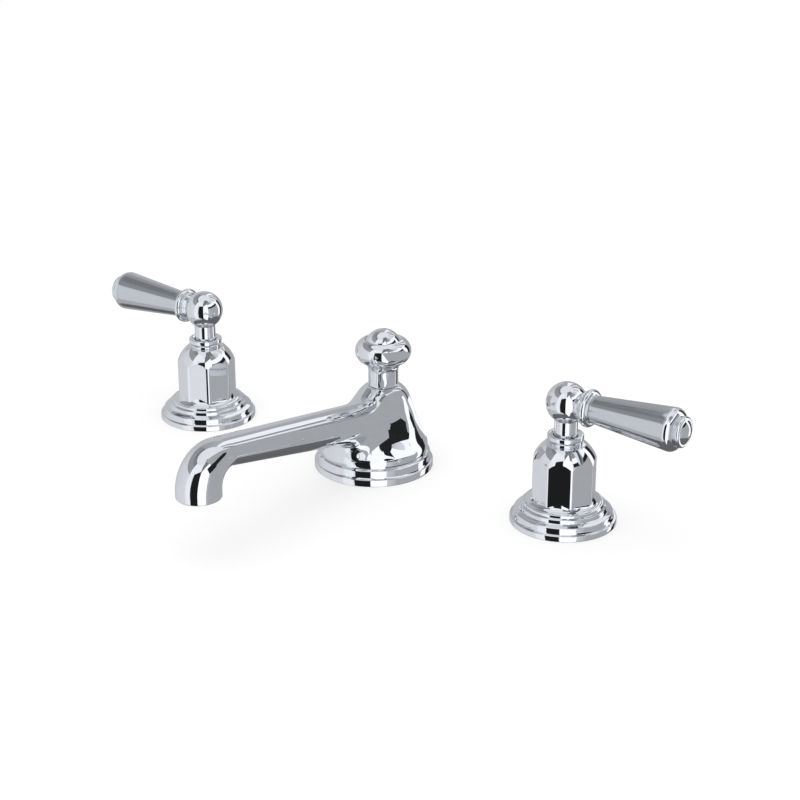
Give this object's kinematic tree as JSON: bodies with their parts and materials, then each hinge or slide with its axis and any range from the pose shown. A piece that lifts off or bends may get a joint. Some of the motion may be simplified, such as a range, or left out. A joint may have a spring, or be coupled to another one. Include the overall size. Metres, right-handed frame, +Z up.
{
  "type": "widespread bathroom faucet",
  "caption": "Widespread basin faucet: a low spout with a pull-up drain knob between a hot and a cold quarter-turn lever valve, all in chrome.",
  "frame": {"origin": "on the deck plane, under the middle of the spout's base ring", "axes": "+Z up, -Y towards the user and the basin, hot valve at -X and cold valve at +X"},
  "size_m": [0.3182, 0.1541, 0.2295],
  "materials": {
    "polished_chrome": "polished",
    "satin_chrome": "satin",
    "raw_brass": "machined",
    "zinc_steel": "zinc plated",
    "rubber": "matte",
    "grey_plastic": "moulded",
    "disc_ceramic": "lapped"
  },
  "bodies": {
    "fixed": {"spout_body": "polished_chrome", "spout_base_ring": "polished_chrome", "spout_gasket": "rubber", "spout_shank": "raw_brass", "spout_deck_seal": "rubber", "spout_deck_washer": "zinc_steel", "spout_lock_nut": "raw_brass", "aerator_shell": "polished_chrome", "aerator_insert": "grey_plastic", "aerator_washer": "rubber", "rod_guide": "grey_plastic", "hot_flange": "polished_chrome", "hot_bonnet": "polished_chrome", "hot_collar": "polished_chrome", "hot_flange_gasket": "rubber", "hot_valve_body": "raw_brass", "hot_cartridge": "raw_brass", "hot_fixed_disc": "disc_ceramic", "hot_seat_seal": "rubber", "hot_deck_seal": "rubber", "hot_deck_washer": "zinc_steel", "hot_lock_nut": "raw_brass", "cold_flange": "polished_chrome", "cold_bonnet": "polished_chrome", "cold_collar": "polished_chrome", "cold_flange_gasket": "rubber", "cold_valve_body": "raw_brass", "cold_cartridge": "raw_brass", "cold_fixed_disc": "disc_ceramic", "cold_seat_seal": "rubber", "cold_deck_seal": "rubber", "cold_deck_washer": "zinc_steel", "cold_lock_nut": "raw_brass"},
    "hot_handle": {"hot_hub": "polished_chrome", "hot_lever_ring": "polished_chrome", "hot_lever_grip": "satin_chrome", "hot_lever_shoulder": "polished_chrome", "hot_lever_button": "polished_chrome", "hot_lever_stud": "zinc_steel", "hot_set_screw": "zinc_steel", "hot_spindle": "raw_brass", "hot_spindle_o_ring": "rubber", "hot_circlip": "zinc_steel", "hot_moving_disc": "disc_ceramic"},
    "cold_handle": {"cold_hub": "polished_chrome", "cold_lever_ring": "polished_chrome", "cold_lever_grip": "satin_chrome", "cold_lever_shoulder": "polished_chrome", "cold_lever_button": "polished_chrome", "cold_lever_stud": "zinc_steel", "cold_set_screw": "zinc_steel", "cold_spindle": "raw_brass", "cold_spindle_o_ring": "rubber", "cold_circlip": "zinc_steel", "cold_moving_disc": "disc_ceramic"},
    "lift": {"lift_knob": "polished_chrome", "lift_rod": "polished_chrome"}
  },
  "joints": [
    {"name": "hot_lever", "type": "hinge", "parent": "fixed", "child": "hot_handle", "pos_m": [-0.1016, 0, 0.0539], "axis": [0, 0, 1], "range_deg": [0, 90]},
    {"name": "cold_lever", "type": "hinge", "parent": "fixed", "child": "cold_handle", "pos_m": [0.1016, 0, 0.0539], "axis": [0, 0, 1], "range_deg": [-90, 0]},
    {"name": "lift", "type": "slide", "parent": "fixed", "child": "lift", "axis": [0, 0, 1], "range_m": [0, 0.028]}
  ]
}
